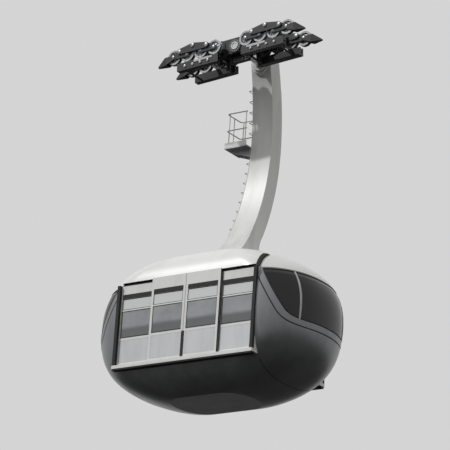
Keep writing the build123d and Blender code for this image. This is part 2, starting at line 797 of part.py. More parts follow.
# Grab rails: two overhead rails on short hangers, with floor-to-ceiling poles.
ceiling_z = bay_height - ceiling_thickness
grab_rails = []
for y in (-grab_rail_y, grab_rail_y):
    rail = Pos(0, y, grab_rail_height) * Rot(0, 90, 0) * Cylinder(grab_rail_radius, 2 * grab_rail_half_length)
    for x in rail_hanger_x:
        rail += Pos(x, y, (grab_rail_height + ceiling_z) / 2) * Cylinder(
            grab_rail_radius, ceiling_z - grab_rail_height
        )
    for x in pole_x:
        rail += Pos(x, y, (floor_thickness + grab_rail_height) / 2) * Cylinder(
            grab_rail_radius, grab_rail_height - floor_thickness
        )
    grab_rails.append(at_cabin(rail))
write("grab_rails", *grab_rails)

# Attendant's console at the uphill end
console_top_x = body_half_length - console_nose_gap
console_back_x = console_top_x - console_top_depth
console = outline_of(
    (console_back_x, floor_thickness), (console_back_x + console_foot_depth, floor_thickness),
    (console_top_x, console_height), (console_back_x, console_height + floor_thickness),
)
write("control_console", at_cabin(across(console, -console_width / 2, console_width / 2)))

# Roof: a middle vault as long as the door rails under its edge, a cap over each nose, and a hatch
# trunk that stands through the vault as a raised coaming.
half_opening = hatch_opening / 2
half_coaming = half_opening + coaming_wall
hatch_hole = cabin_block(
    hatch_x - half_opening, hatch_x + half_opening, -half_opening, half_opening, 0, far_away
)
trunk = cabin_block(
    hatch_x - half_coaming, hatch_x + half_coaming, -half_coaming, half_coaming,
    bay_height, roof_top + coaming_height,
)
middle = cabin_block(-rail_half_length, rail_half_length, -far_away, far_away, 0, far_away)
write("roof_shell", (roof & middle) - trunk)
write("roof_caps", roof - middle)
write("hatch_coaming", trunk - hatch_hole)
write("ceiling_panel", ceiling - side_room - hatch_hole)
half_lid = half_coaming + lid_overhang
lid_bottom = roof_top + coaming_height
lid = block(hatch_x - half_lid, hatch_x + half_lid, -half_lid, half_lid, lid_bottom, lid_bottom + lid_thickness)
write("roof_hatch", at_cabin(fillet(lid.edges().group_by(Axis.Z)[-1], lid_rounding)))
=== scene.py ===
import math

import bmesh
import bpy
from mathutils import Matrix, Quaternion, Vector
from mathutils.bvhtree import BVHTree


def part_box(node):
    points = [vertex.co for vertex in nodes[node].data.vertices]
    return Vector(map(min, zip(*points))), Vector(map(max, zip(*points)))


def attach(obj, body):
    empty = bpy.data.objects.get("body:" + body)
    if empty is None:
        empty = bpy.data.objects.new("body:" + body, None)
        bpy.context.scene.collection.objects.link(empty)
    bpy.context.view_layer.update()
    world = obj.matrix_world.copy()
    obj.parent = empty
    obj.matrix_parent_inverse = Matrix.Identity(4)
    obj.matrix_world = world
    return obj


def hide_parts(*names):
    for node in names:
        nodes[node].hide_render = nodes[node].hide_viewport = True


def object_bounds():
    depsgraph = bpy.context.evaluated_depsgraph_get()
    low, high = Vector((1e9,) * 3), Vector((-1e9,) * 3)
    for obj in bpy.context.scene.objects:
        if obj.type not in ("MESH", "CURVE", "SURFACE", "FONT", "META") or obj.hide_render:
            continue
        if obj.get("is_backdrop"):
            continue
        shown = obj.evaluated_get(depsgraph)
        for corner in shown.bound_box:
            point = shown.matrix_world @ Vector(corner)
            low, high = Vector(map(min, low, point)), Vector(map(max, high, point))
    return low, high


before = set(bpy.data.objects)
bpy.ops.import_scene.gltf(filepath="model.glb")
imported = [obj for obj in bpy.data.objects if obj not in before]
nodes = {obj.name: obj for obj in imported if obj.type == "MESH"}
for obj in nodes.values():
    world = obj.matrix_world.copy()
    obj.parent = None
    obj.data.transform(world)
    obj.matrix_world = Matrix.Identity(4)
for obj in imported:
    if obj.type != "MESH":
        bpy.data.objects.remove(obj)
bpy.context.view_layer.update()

# Roof: a smooth shell of moulded laminate with a cap at each end, sprayed gloss white together with
# the hatch's coaming. Rain keeps it clean but for pale runs of dust down its shoulders, so the eye
# sees a bright even skin.


def linear(code):
    """The linear colour of an sRGB hex code."""
    parts = [int(code[i : i + 2], 16) / 255 for i in (0, 2, 4)]
    return [p / 12.92 if p <= 0.04045 else ((p + 0.055) / 1.055) ** 2.4 for p in parts] + [1.0]


def add_node(tree, kind, inputs=None, **settings):
    """Adds a shader node with its settings, and fills its inputs with values or links."""
    made = tree.nodes.new("ShaderNode" + kind)
    for name, value in settings.items():
        setattr(made, name, value)
    for name, value in (inputs or {}).items():
        if isinstance(value, bpy.types.NodeSocket):
            tree.links.new(value, made.inputs[name])
        else:
            made.inputs[name].default_value = value
    return made


def new_finish(name, roughness, metallic=0.0, coat=0.0, ior=1.5, alpha=1.0):
    """A material with the real one's uniform values; gives it, its tree and its shader."""
    made = bpy.data.materials.new(name)
    made.use_nodes = True
    shader = made.node_tree.nodes["Principled BSDF"]
    for socket, value in (
        ("Roughness", roughness), ("Metallic", metallic), ("IOR", ior), ("Alpha", alpha),
        ("Coat Weight", coat), ("Coat Roughness", 0.08),
    ):
        shader.inputs[socket].default_value = value
    return made, made.node_tree, shader


def soil(tree, shader, clean, soiled, patch, grain, relief, share=0.5, stretch=(1, 1, 1)):
    """Soils a clean colour in patches and grains its gloss and its surface.

    patch and grain are pattern sizes and relief is a height, all in millimetres, and share is how
    much of the soil shows. Paint's orange peel and a metal's rolling grain are 1 mm or finer, which
    a whole vehicle can't show, so grain draws them 3 to 12 mm coarse. On panes and on the studio's
    floor it is their slow unevenness. Gives the place and the colour, for finishes that add to them.
    """
    soil_begins, soil_full = 0.42, 0.72
    glossier, duller = 0.07, 0.09
    place = add_node(tree, "TexCoord").outputs["Object"]
    stretched = add_node(tree, "Mapping", {"Vector": place, "Scale": stretch}).outputs["Vector"]
    patches = add_node(
        tree, "TexNoise", {"Vector": stretched, "Scale": 1000 / patch, "Detail": 7.0, "Roughness": 0.62}
    ).outputs["Fac"]
    amount = add_node(
        tree, "MapRange",
        {"Value": patches, "From Min": soil_begins, "From Max": soil_full, "To Max": share},
    ).outputs["Result"]
    colour = add_node(
        tree, "Mix", {"Factor": amount, "A": linear(clean), "B": linear(soiled)}, data_type="RGBA"
    ).outputs["Result"]
    fine = add_node(tree, "TexNoise", {"Vector": place, "Scale": 1000 / grain, "Detail": 4.0}).outputs["Fac"]
    base = shader.inputs["Roughness"].default_value
    gloss = add_node(
        tree, "MapRange",
        {"Value": fine, "To Min": max(base - glossier, 0.02), "To Max": min(base + duller, 1.0)},
    ).outputs["Result"]
    surface = add_node(
        tree, "Bump", {"Height": fine, "Distance": relief / 1000, "Strength": 0.6}
    ).outputs["Normal"]
    for socket, source in (("Base Color", colour), ("Roughness", gloss), ("Normal", surface)):
        tree.links.new(source, shader.inputs[socket])
    return place, colour


def lay_on(mesh, material, sharp_angle):
    """Lays a material on a mesh, which stays sharp at edges above an angle in degrees."""
    mesh.materials.clear()
    mesh.materials.append(material)
    mesh.shade_smooth()
    mesh.set_sharp_from_angle(angle=math.radians(sharp_angle))


def dress(material, *names):
    """Gives CAD nodes their material."""
    for name in names:
        lay_on(nodes[name].data, material, sharp_angle=32)


# Two-pack gloss enamel over moulded laminate: near white, with wide soft highlights.
gloss_white, tree, shader = new_finish("gloss_white_paint", 0.3, coat=0.35)
soil(tree, shader, "F2F2F0", "D6D6D2", patch=700, grain=12, relief=0.4, share=0.45, stretch=(1, 1, 0.25))
dress(gloss_white, "roof_shell", "roof_caps", "hatch_coaming")

# Roof hatch: a pressed lid with two grab handles, hinged on its downhill side. Lid, handles and
# hinges are painted with the roof. The hinges stay on the cabin when the lid swings up.
dress(gloss_white, "roof_hatch")
lid_low, lid_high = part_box("roof_hatch")
# Cabin heights are measured from the underside of its floor, and lengths from straight below the
# shaft that it swings on. The shaft lies on the line of the wheels' axles, which slopes with the
# ropes.
rope_slope, axle_z, cabin_z = math.radians(4.0), 0.2045, -9.2
cabin_x = -axle_z * math.sin(rope_slope)
hatch_x, panel_half, panel_rise, panel_sink = cabin_x - 1.15, 0.21, 0.005, 0.004
handle_x, handle_y, handle_z = hatch_x + 0.24, 0.15, lid_high.z + 0.034
handle_half, handle_radius, handle_foot, foot_sink = 0.075, 0.008, 0.007, 0.003
hinge_x, hinge_y, hinge_half, leaf_width, leaf_thick = hatch_x - 0.304, 0.18, 0.045, 0.017, 0.005
knuckle_z, knuckle_half, knuckle_radius = lid_low.z - 0.021, 0.05, 0.014
both = (-1, 1)
# A piece that lies on a face sinks into it by this much, so that no gap shows.
bite = 0.001


def finished_mesh(name, bm, material):
    """Ends a mesh in the making and lays its material on it."""
    mesh = bpy.data.meshes.new(name)
    bm.normal_update()
    bm.to_mesh(mesh)
    bm.free()
    lay_on(mesh, material, sharp_angle=35)
    return mesh


def add_piece(name, bm, material, body):
    """Makes a finished piece from a mesh in the making, riding on a CAD body."""
    made = bpy.data.objects.new(name, finished_mesh(name, bm, material))
    bpy.context.scene.collection.objects.link(made)
    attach(made, body)


def add_bar(bm, low, high, rounding=0.002, turn=Matrix()):
    """A bar between two corners with rounded edges, then turned."""
    size = [abs(b - a) for a, b in zip(low, high)]
    middle = [(a + b) / 2 for a, b in zip(low, high)]
    place = turn @ Matrix.Translation(middle) @ Matrix.Diagonal((*size, 1))
    verts = bmesh.ops.create_cube(bm, size=1, matrix=place)["verts"]
    edges = list({edge for vert in verts for edge in vert.link_edges})
    bmesh.ops.bevel(bm, geom=edges, offset=rounding, segments=1, profile=0.5, affect="EDGES")


def add_turned(bm, profile, centre, steps, turn=Matrix()):
    """A profile of (radius, y) points spun about the Y line through a centre, then turned."""
    rings = []
    for radius, y in profile:
        angles = [math.tau * i / steps for i in range(steps if radius else 1)]
        spots = [Vector((radius * math.cos(angle), y, radius * math.sin(angle))) for angle in angles]
        rings.append([bm.verts.new(turn @ (Vector(centre) + spot)) for spot in spots])
    faces = []
    for one, two in zip(rings, rings[1:]):
        for i in range(steps):
            j = (i + 1) % steps
            corners = [one[i % len(one)], one[j % len(one)], two[j % len(two)], two[i % len(two)]]
            faces.append(bm.faces.new(list(dict.fromkeys(corners))))
    bmesh.ops.recalc_face_normals(bm, faces=faces)


def rod(radius, half):
    """The profile of a rod with flat ends."""
    return [(0, -half), (radius, -half), (radius, half), (0, half)]


bm = bmesh.new()
add_bar(
    bm, (hatch_x - panel_half, -panel_half, lid_high.z - panel_sink),
    (hatch_x + panel_half, panel_half, lid_high.z + panel_rise), 0.004,
)
for side in both:
    add_turned(bm, rod(handle_radius, handle_half), (handle_x, side * handle_y, handle_z), steps=16)
    for end in both:
        foot_y = side * handle_y + end * (handle_half - handle_radius)
        add_bar(
            bm, (handle_x - handle_foot, foot_y - handle_foot, lid_high.z - foot_sink),
            (handle_x + handle_foot, foot_y + handle_foot, handle_z),
        )
    add_bar(
        bm, (hinge_x, side * hinge_y - hinge_half, lid_low.z - leaf_thick),
        (hinge_x + leaf_width, side * hinge_y + hinge_half, lid_low.z + bite), 0.001,
    )
add_piece("hatch_lid_trim", bm, gloss_white, "roof_hatch")
bm = bmesh.new()
for side in both:
    add_turned(bm, rod(knuckle_radius, knuckle_half), (hinge_x, side * hinge_y, knuckle_z), steps=20)
    # The block that joins the knuckle to the coaming.
    add_bar(
        bm, (hinge_x - 0.006, side * hinge_y - hinge_half, knuckle_z - 0.024),
        (hinge_x + 0.021, side * hinge_y + hinge_half, knuckle_z + 0.004), 0.003,
    )
add_piece("hatch_hinges", bm, gloss_white, "cabin")

# Noses, belly and windscreen surrounds: moulded panels in silver metallic paint, dulled in patches
# and set darker than the real silver, as painted shade of the nose and belly. They show a soft
# metallic gradient, and a rubber joint where they meet.
silver_darkened_as_painted_shade, tree, shader = new_finish("silver_metallic_paint_darkened_as_painted_shade", 0.36, metallic=0.5, coat=0.25)
soil(tree, shader, "88898B", "58595A", patch=900, grain=4, relief=0.1, share=0.6, stretch=(1, 1, 0.4))
dress(silver_darkened_as_painted_shade, "nose_shell_up", "nose_shell_down", "belly_shell", "windscreen_surrounds")
# Extruded rubber: a dead black line with no highlight, greyed by dust.
black_rubber, tree, shader = new_finish("extruded_black_rubber", 0.7, ior=1.52)
soil(tree, shader, "101011", "2A2A2B", patch=250, grain=6, relief=0.3)
bay_half, beside_cabin = 2.200, 4.0
joint_width, joint_inset, joint_steps, below_sill = 0.020, 0.004, 48, math.radians(3.6)


def surface_of(*names):
    """The CAD nodes' faces, for finding points on them."""
    verts, faces = [], []
    for name in names:
        first = len(verts)
        verts += [vert.co.copy() for vert in nodes[name].data.vertices]
        faces += [[first + i for i in face.vertices] for face in nodes[name].data.polygons]
    return BVHTree.FromPolygons(verts, faces)


def touch(surface, start, heading, lift=0.0):
    """Where a ray meets the surface, raised off it, with the normal that faces the ray."""
    place, normal, _, _ = surface.ray_cast(Vector(start), Vector(heading))
    outward = normal if normal.dot(Vector(heading)) < 0 else -normal
    return place + lift * outward, outward


def add_tube(bm, points, radius, sides=8, closed=False, flat=1.0, outward=None):
    """A tube along points; flat thins it towards the outward direction at each point."""
    rings, count = [], len(points)
    for i, point in enumerate(points):
        before = points[i - 1] if closed or i else point
        after = points[(i + 1) % count] if closed or i < count - 1 else point
        along = (after - before).normalized()
        upright = Vector((0, 0, 1)) if abs(along.z) < 0.9 else Vector((1, 0, 0))
        side = along.cross(outward[i] if outward else upright).normalized()
        up = side.cross(along)
        rings.append([
            bm.verts.new(point + radius * math.cos(angle) * side + radius * flat * math.sin(angle) * up)
            for angle in (math.tau * k / sides for k in range(sides))
        ])
    faces = []
    for i in range(count if closed else count - 1):
        one, two = rings[i], rings[(i + 1) % count]
        for k in range(sides):
            m = (k + 1) % sides
            faces.append(bm.faces.new((one[k], one[m], two[m], two[k])))
    if not closed:
        faces += [bm.faces.new(rings[0]), bm.faces.new(rings[-1])]
    bmesh.ops.recalc_face_normals(bm, faces=faces)


def add_strip(bm, found, width, flat, sides=8, closed=False):
    """A strip of a width laid flat along points that were found on a surface."""
    places, normals = zip(*found)
    add_tube(bm, places, width / 2, sides, closed, flat, normals)


belly_skin = surface_of("belly_shell")
bm = bmesh.new()
for end in both:
    middle = Vector((cabin_x + end * (bay_half - joint_inset), 0, cabin_z))
    found = []
    for i in range(joint_steps + 1):
        angle = math.pi + below_sill + (math.pi - 2 * below_sill) * i / joint_steps
        heading = Vector((0, math.cos(angle), math.sin(angle)))
        found.append(touch(belly_skin, middle + beside_cabin * heading, -heading, -bite))
    add_strip(bm, found, joint_width, 0.4, sides=6)
add_piece("belly_joints", bm, black_rubber, "cabin")

# Windscreens: tinted laminated panes bent to the nose, nearly black from outside, with a black band
# fired on along the top. A rubber seal holds them, and a light post covers each joint of the panes.
tinted_glass, tree, shader = new_finish("dark_tinted_laminated_glass", 0.04, ior=1.52, alpha=0.9)
soil(tree, shader, "070808", "15171A", patch=800, grain=400, relief=0.01, share=0.8, stretch=(1, 1, 0.3))
dress(tinted_glass, "windscreen_up", "windscreen_down")
# Enamel fired on the pane: an even black that hides the glued edge, with the glass's shine.
fired_black, tree, shader = new_finish("fired_black_enamel", 0.22, coat=0.5)
soil(tree, shader, "050505", "111112", patch=300, grain=6, relief=0.02)
# Enamelled steel strip: one pale line down the dark panes.
post_paint, tree, shader = new_finish("light_grey_paint", 0.42, coat=0.2)
soil(tree, shader, "C9CACB", "9A9B9C", patch=200, grain=6, relief=0.2)
ends = {"up": 1, "down": -1}
nose_centre, ahead_of_cabin = 2.000, 5.0
screen_x, knee_x, sill_z, screen_z, knee_radius = 2.290, 3.000, 0.950, 2.246, 0.420
surround, seal_width, seam_width, post_y, post_width = 0.190, 0.040, 0.034, 1.030, 0.052
band_heights, band_inset = (2.138, 2.165, 2.190, 2.215, 2.236), 0.012
post_lift, band_lift, seam_end_gap = 0.001, 0.0025, 0.006
lean = (knee_x - screen_x) / (screen_z - sill_z)
seal_grow, seam_grow = 0.004, surround - 0.004
seam_top = screen_z + (screen_x - seam_grow * math.hypot(1, lean) - bay_half - seam_end_gap) / lean


def screen_edge(grow, top, slope_steps=12, knee_steps=10):
    """The windscreen's sloping edge, grown outwards, as (x, z) from a top height to the sill."""
    shift = grow * math.hypot(1, lean)
    corner = Vector((knee_x - shift + lean * grow, sill_z - grow))
    slope = Vector((-lean, 1)).normalized()
    radius = knee_radius + grow
    reach = radius * math.tan((math.pi - slope.angle(Vector((1, 0)))) / 2)
    centre = corner + Vector((reach, radius))
    spoke = corner + reach * slope - centre
    first = math.atan2(spoke.y, spoke.x) % math.tau
    turns = [first + (1.5 * math.pi - first) * i / knee_steps for i in range(knee_steps + 1)]
    high = Vector((screen_x - shift - lean * (top - screen_z), top))
    straight = [high.lerp(centre + spoke, i / slope_steps) for i in range(slope_steps)]
    return straight + [centre + radius * Vector((math.cos(t), math.sin(t))) for t in turns]


def from_side(surface, x, z, side):
    """The point of a side of the body at a cabin (x, z)."""
    return touch(surface, (cabin_x + x, beside_cabin * side, cabin_z + z), (0, -side, 0))


def from_ahead(surface, turn, z, end, lift=0.0):
    """The point of a nose at a cabin height and a turn from straight ahead."""
    ahead = Vector((end * math.cos(turn), math.sin(turn), 0))
    middle = Vector((cabin_x + end * nose_centre, 0, cabin_z + z))
    return touch(surface, middle + ahead_of_cabin * ahead, -ahead, lift)


def turn_of(point, end):
    """A body point's turn from straight ahead, seen from inside the nose."""
    return abs(math.atan2(point.y, (point.x - cabin_x) * end - nose_centre))


def round_screen(surface, end, grow, top, half_steps=12):
    """A line down one side of a windscreen, along its sill and up the other side."""
    edge = screen_edge(grow, top)
    found = [from_side(surface, end * x, z, -1) for x, z in edge]
    half, low_z = turn_of(found[-1][0], end), edge[-1].y
    found += [from_ahead(surface, half * (i / half_steps - 1), low_z, end) for i in range(1, 2 * half_steps)]
    return found + [from_side(surface, end * x, z, 1) for x, z in reversed(edge)]


def across_top(surface, end, half, z, half_steps=20):
    """The line that closes a windscreen's outline along its top edge."""
    return [from_ahead(surface, half * (1 - i / half_steps), z, end) for i in range(1, 2 * half_steps)]


def down_post(surface, end, y, steps=24):
    """The line of a post, from just under the windscreen's sill to just past its top."""
    low_z, high_z = sill_z - 0.01, screen_z + 0.01
    heights = [low_z + (high_z - low_z) * i / steps for i in range(steps + 1)]
    start_x = cabin_x + end * ahead_of_cabin
    return [touch(surface, (start_x, y, cabin_z + z), (-end, 0, 0), post_lift) for z in heights]


def add_band(bm, surface, end, half_steps=30):
    """The fired band along the top of a windscreen, facing out."""
    rows = []
    for z in band_heights:
        edge_x = screen_x + lean * (screen_z - z) + band_inset
        half = turn_of(from_side(surface, end * edge_x, z, -1)[0], end)
        turns = [half * (i / half_steps - 1) for i in range(2 * half_steps + 1)]
        rows.append([bm.verts.new(from_ahead(surface, turn, z, end, band_lift)[0]) for turn in turns])
    for one, two in zip(rows, rows[1:]):
        for i in range(2 * half_steps):
            face = bm.faces.new((one[i], one[i + 1], two[i + 1], two[i]))
            face.normal_update()
            if face.normal.x * end < 0:
                face.normal_flip()


for end_name, end in ends.items():
    nose, screen = f"nose_shell_{end_name}", f"windscreen_{end_name}"
    skin = surface_of("windscreen_surrounds", nose, "roof_caps", screen)

    found = round_screen(skin, end, seal_grow, screen_z + seal_grow)
    found += across_top(skin, end, turn_of(found[-1][0], end), screen_z + seal_grow)
    bm = bmesh.new()
    add_strip(bm, found, seal_width, 0.4, closed=True)
    add_piece(f"windscreen_seal_{end_name}", bm, black_rubber, "cabin")

    bm = bmesh.new()
    add_strip(bm, round_screen(skin, end, seam_grow, seam_top), seam_width, 0.35)
    add_piece(f"surround_seal_{end_name}", bm, black_rubber, "cabin")

    bm = bmesh.new()
    for y in (-post_y, post_y):
        add_strip(bm, down_post(skin, end, y), post_width, 0.35)
    add_piece(f"windscreen_posts_{end_name}", bm, post_paint, "cabin")

    bm = bmesh.new()
    add_band(bm, skin, end)
    add_piece(f"windscreen_band_{end_name}", bm, fired_black, "cabin")

# Side bays and door leaves: welded frames in white paint with silver sheet riveted into the lower
# fields. They read as crisp white bars round duller panels, with a black strip over the glass.
frame_white, tree, shader = new_finish("white_frame_paint", 0.38, coat=0.15)
soil(tree, shader, "F4F4F2", "CFCFCB", patch=500, grain=8, relief=0.3, share=0.4, stretch=(1, 1, 0.2))
leaves = ("near_up", "near_down", "far_up", "far_down")
dress(frame_white, "side_frame_near", "side_frame_far", *(f"door_leaf_{leaf}" for leaf in leaves))
# Mill-rolled aluminium: a dull silver that is streaked along its upright grain.
silver_sheet, tree, shader = new_finish("rolled_aluminium_sheet", 0.4, metallic=0.6)
soil(tree, shader, "C8C9CB", "A8A9AB", patch=350, grain=3, relief=0.05, share=0.5, stretch=(1, 1, 0.15))
glass_low, glass_split, glass_high, half_transom = 0.850, 1.610, 1.930, 0.018
field_low, field_high, dark_strip_low, dark_strip_high = 0.160, 0.780, 1.936, 2.056
bay_y, leaf_y, proud = 1.660, 1.740, 0.008
window_fields, leaf_fields = (1.120, 2.065), (0.076, 1.012)
bead, foot_bead, bead_back, bead_front, bead_rounding = 0.016, 0.030, 0.012, 0.003, 0.003
sheet_gap, sheet_back, sheet_front = 0.004, 0.0065, 0.002
rivet_inset, rivet_margin, rivet_gaps = 0.025, 0.030, 8
post_x, post_z, under_sill_strip_half = (1.086, 1.112), (0.095, 2.296), 2.190
rivet_head = [(0.007, -0.0025), (0.0065, -0.001), (0.004, 0.0005), (0, 0.001)]
cabin_place = Matrix.Translation((cabin_x, 0, cabin_z))
side_turns = {"far": cabin_place, "near": cabin_place @ Matrix.Rotation(math.pi, 4, "Z")}


def trim_light(seals, sheets, rivets, fields, way, face_y, turn):
    """The glass beads, black strip, silver sheet and rivets of one light, drawn on the far side."""
    x0, x1 = sorted((way * fields[0], way * fields[1]))
    for z0, z1, foot in (
        (glass_low, glass_split - half_transom, foot_bead), (glass_split + half_transom, glass_high, bead),
    ):
        for x_low, x_high, z_low, z_high in (
            (x0, x1, z0, z0 + foot), (x0, x1, z1 - bead, z1),
            (x0, x0 + bead, z0 + foot, z1 - bead), (x1 - bead, x1, z0 + foot, z1 - bead),
        ):
            low, high = (x_low, face_y - bead_back, z_low), (x_high, face_y - bead_front, z_high)
            add_bar(seals, low, high, bead_rounding, turn)
    add_bar(seals, (x0, face_y - bite, dark_strip_low), (x1, face_y + proud, dark_strip_high), bead_rounding, turn)
    add_bar(
        sheets, (x0 + sheet_gap, face_y - sheet_back, field_low + sheet_gap),
        (x1 - sheet_gap, face_y - sheet_front, field_high - sheet_gap), 0.001, turn,
    )
    row = x1 - x0 - 2 * rivet_margin
    for z in (field_low + rivet_inset, field_high - rivet_inset):
        for i in range(rivet_gaps + 1):
            add_turned(rivets, rivet_head, (x0 + rivet_margin + row * i / rivet_gaps, face_y, z), 8, turn)


for side, turn in side_turns.items():
    seals, sheets, rivets = bmesh.new(), bmesh.new(), bmesh.new()
    for end in both:
        trim_light(seals, sheets, rivets, window_fields, end, bay_y, turn)
        # The bay's post carries a black rubber edge that the door leaf shuts against. It is laid wide to
        # show the dark gap beside the leaf's edge: in part a painted shadow.
        add_bar(
            seals, (end * post_x[0], bay_y - bite, post_z[0]),
            (end * post_x[1], bay_y + 0.012, post_z[1]), bead_rounding, turn,
        )
    # A black rubber strip runs under the whole bay, along the sill. It darkens the sill's underside as
    # a painted shadow.
    add_bar(
        seals, (-under_sill_strip_half, bay_y - 0.060, -0.045), (under_sill_strip_half, bay_y + 0.095, bite), 0.004, turn,
    )
    add_piece(f"bay_seals_{side}", seals, black_rubber, "cabin")
    add_piece(f"bay_sheets_{side}", sheets, silver_sheet, "cabin")
    add_piece(f"bay_rivets_{side}", rivets, silver_sheet, "cabin")
    for end_name, end in ends.items():
        way = end if side == "far" else -end
        seals, sheets, rivets = bmesh.new(), bmesh.new(), bmesh.new()
        trim_light(seals, sheets, rivets, leaf_fields, way, leaf_y, turn)
        # Rubbers on a leaf's rear edge and meeting edge, and the cover over the meeting edges' foot.
        for x0, x1, y0, y1, z0, z1 in (
            (1.0805, 1.0840, leaf_y - 0.052, leaf_y - 0.004, 0.104, 2.374),
            (0.0055, 0.0085, leaf_y - 0.050, leaf_y - 0.004, 0.104, 2.374),
            (0.0080, 0.0460, leaf_y - bite, leaf_y + proud, 0.110, 0.800),
        ):
            add_bar(seals, (way * x0, y0, z0), (way * x1, y1, z1), 0.001, turn)
        body = f"door_{side}_{end_name}"
        add_piece(f"leaf_seals_{side}_{end_name}", seals, black_rubber, body)
        add_piece(f"leaf_sheets_{side}_{end_name}", sheets, silver_sheet, body)
        add_piece(f"leaf_rivets_{side}_{end_name}", rivets, silver_sheet, body)

# Side glass: flat toughened panes, grey-tinted and lightly filmed with dust; the upper lights are
# painted near white, a painted reflection. The eye sees a flat mid grey with the far windows faintly
# behind it, and the lower panes are painted darker towards their foot.
side_glass, tree, shader = new_finish("grey_toughened_glass", 0.06, ior=1.52, alpha=0.92)
place, lower_grey = soil(tree, shader, "B4B7BA", "96999C", patch=500, grain=500, relief=0.01, share=0.7)
# Between these heights the lower panes are painted darker towards their foot.
foot_darkening_top, foot_darkening_full, foot_darkening_share = 1.20, 1.06, 0.85
height = add_node(tree, "SeparateXYZ", {"Vector": place}).outputs["Z"]
darker_towards_foot = add_node(
    tree, "MapRange",
    {
        "Value": height, "From Min": cabin_z + foot_darkening_top, "From Max": cabin_z + foot_darkening_full,
        "To Max": foot_darkening_share,
    },
    interpolation_type="SMOOTHSTEP",
).outputs["Result"]
foot_grey = add_node(
    tree, "Mix", {"Factor": darker_towards_foot, "A": lower_grey, "B": linear("6C6F72")}, data_type="RGBA"
).outputs["Result"]
# Above the transom the panes are painted near white: a painted reflection.
in_upper = add_node(tree, "Math", {0: height, 1: cabin_z + glass_split}, operation="GREATER_THAN").outputs[0]
pane_grey_and_painted_reflection = add_node(
    tree, "Mix", {"Factor": in_upper, "A": foot_grey, "B": linear("F2F3F3")}, data_type="RGBA"
).outputs["Result"]
tree.links.new(pane_grey_and_painted_reflection, shader.inputs["Base Color"])
dress(side_glass, "side_windows_near", "side_windows_far", *(f"door_glass_{leaf}" for leaf in leaves))

# Door rails and corner strips: black anodised channel let into the roof's edge, and thick rubber
# fenders screwed to the bay's corners, the darkest lines of the side.
black_anodised, tree, shader = new_finish("black_anodised_aluminium", 0.45, metallic=0.4)
soil(tree, shader, "0E0E0F", "232324", patch=300, grain=6, relief=0.1)
dress(black_anodised, "door_rails")
dress(black_rubber, "corner_strips")
strip_x, strip_face, screw_heights, screw_size = 2.155, 1.752, (0.24, 0.78, 1.32, 1.86, 2.20), 0.016


def add_bolt(bm, place, outward, across, turn=Matrix()):
    """A hexagon bolt head on its washer, standing on a place and facing outward."""
    facing = Vector((0, 0, 1)).rotation_difference(Vector(outward)).to_matrix().to_4x4()
    washer, head = (16, 0.78, -0.02, 0.12), (6, 0.56, 0.10, 0.55)
    for sides, radius, low, high in (washer, head):
        middle = Matrix.Translation((0, 0, (low + high) / 2 * across))
        bmesh.ops.create_cone(
            bm, cap_ends=True, segments=sides, radius1=radius * across, radius2=radius * across,
            depth=(high - low) * across, matrix=turn @ Matrix.Translation(place) @ facing @ middle,
        )


bm = bmesh.new()
for turn in side_turns.values():
    for end in both:
        for z in screw_heights:
            add_bolt(bm, (end * strip_x, strip_face, z), (0, 1, 0), screw_size, turn)
add_piece("strip_screws", bm, black_anodised, "cabin")

# Inside: a studded rubber floor, a matt laminate ceiling, brushed steel rails and a console of
# textured plastic. They show darkly through the glass, and plainly when the doors are open.
# Moulded rubber studs, 35 mm apart: dark and even, with small round glints.
floor_rubber, tree, shader = new_finish("studded_floor_rubber", 0.7, ior=1.52)
place, _ = soil(tree, shader, "2E2F30", "454545", patch=400, grain=6, relief=0.2)
stud_spacing, stud_rise = 35, 0.002
studs = add_node(tree, "TexVoronoi", {"Vector": place, "Scale": 1000 / stud_spacing, "Randomness": 0.0})
domes = add_node(tree, "Bump", {"Height": studs.outputs["Distance"], "Distance": stud_rise}, invert=True)
tree.links.new(domes.outputs["Normal"], shader.inputs["Normal"])
dress(floor_rubber, "floor_deck")
# Pressed laminate: a matt pale ceiling that lights the room.
laminate, tree, shader = new_finish("matt_white_laminate", 0.6)
soil(tree, shader, "D8D8D5", "C2C2BE", patch=600, grain=6, relief=0.1)
dress(laminate, "ceiling_panel")
# Brushed tube: bright steel whose highlights run long and soft.
brushed_steel, tree, shader = new_finish("brushed_stainless_steel", 0.28, metallic=1.0)
soil(tree, shader, "B9BABB", "A3A4A5", patch=100, grain=3, relief=0.03, stretch=(0.05, 1, 1))
dress(brushed_steel, "grab_rails")
# Grained moulded plastic: a broken, dull black.
console_plastic, tree, shader = new_finish("textured_black_abs", 0.55, ior=1.54)
soil(tree, shader, "1B1C1D", "2B2C2D", patch=200, grain=4, relief=0.3)
dress(console_plastic, "control_console")
desk_low, desk_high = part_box("control_console")
display_gap, display_half, display_x = 0.27, 0.09, (0.03, 0.06)
button_gap, button_half, button_x = 0.06, 0.014, (0.10, 0.128)
bm = bmesh.new()
for y in (-display_gap, 0.0, display_gap):
    add_bar(
        bm, (desk_low.x + display_x[0], y - display_half, desk_high.z - 0.006),
        (desk_low.x + display_x[1], y + display_half, desk_high.z + 0.012),
    )
    for button_y in (y - button_gap, y, y + button_gap):
        add_bar(
            bm, (desk_low.x + button_x[0], button_y - button_half, desk_high.z - 0.020),
            (desk_low.x + button_x[1], button_y + button_half, desk_high.z + 0.006), 0.004,
        )
add_piece("console_controls", bm, black_anodised, "cabin")

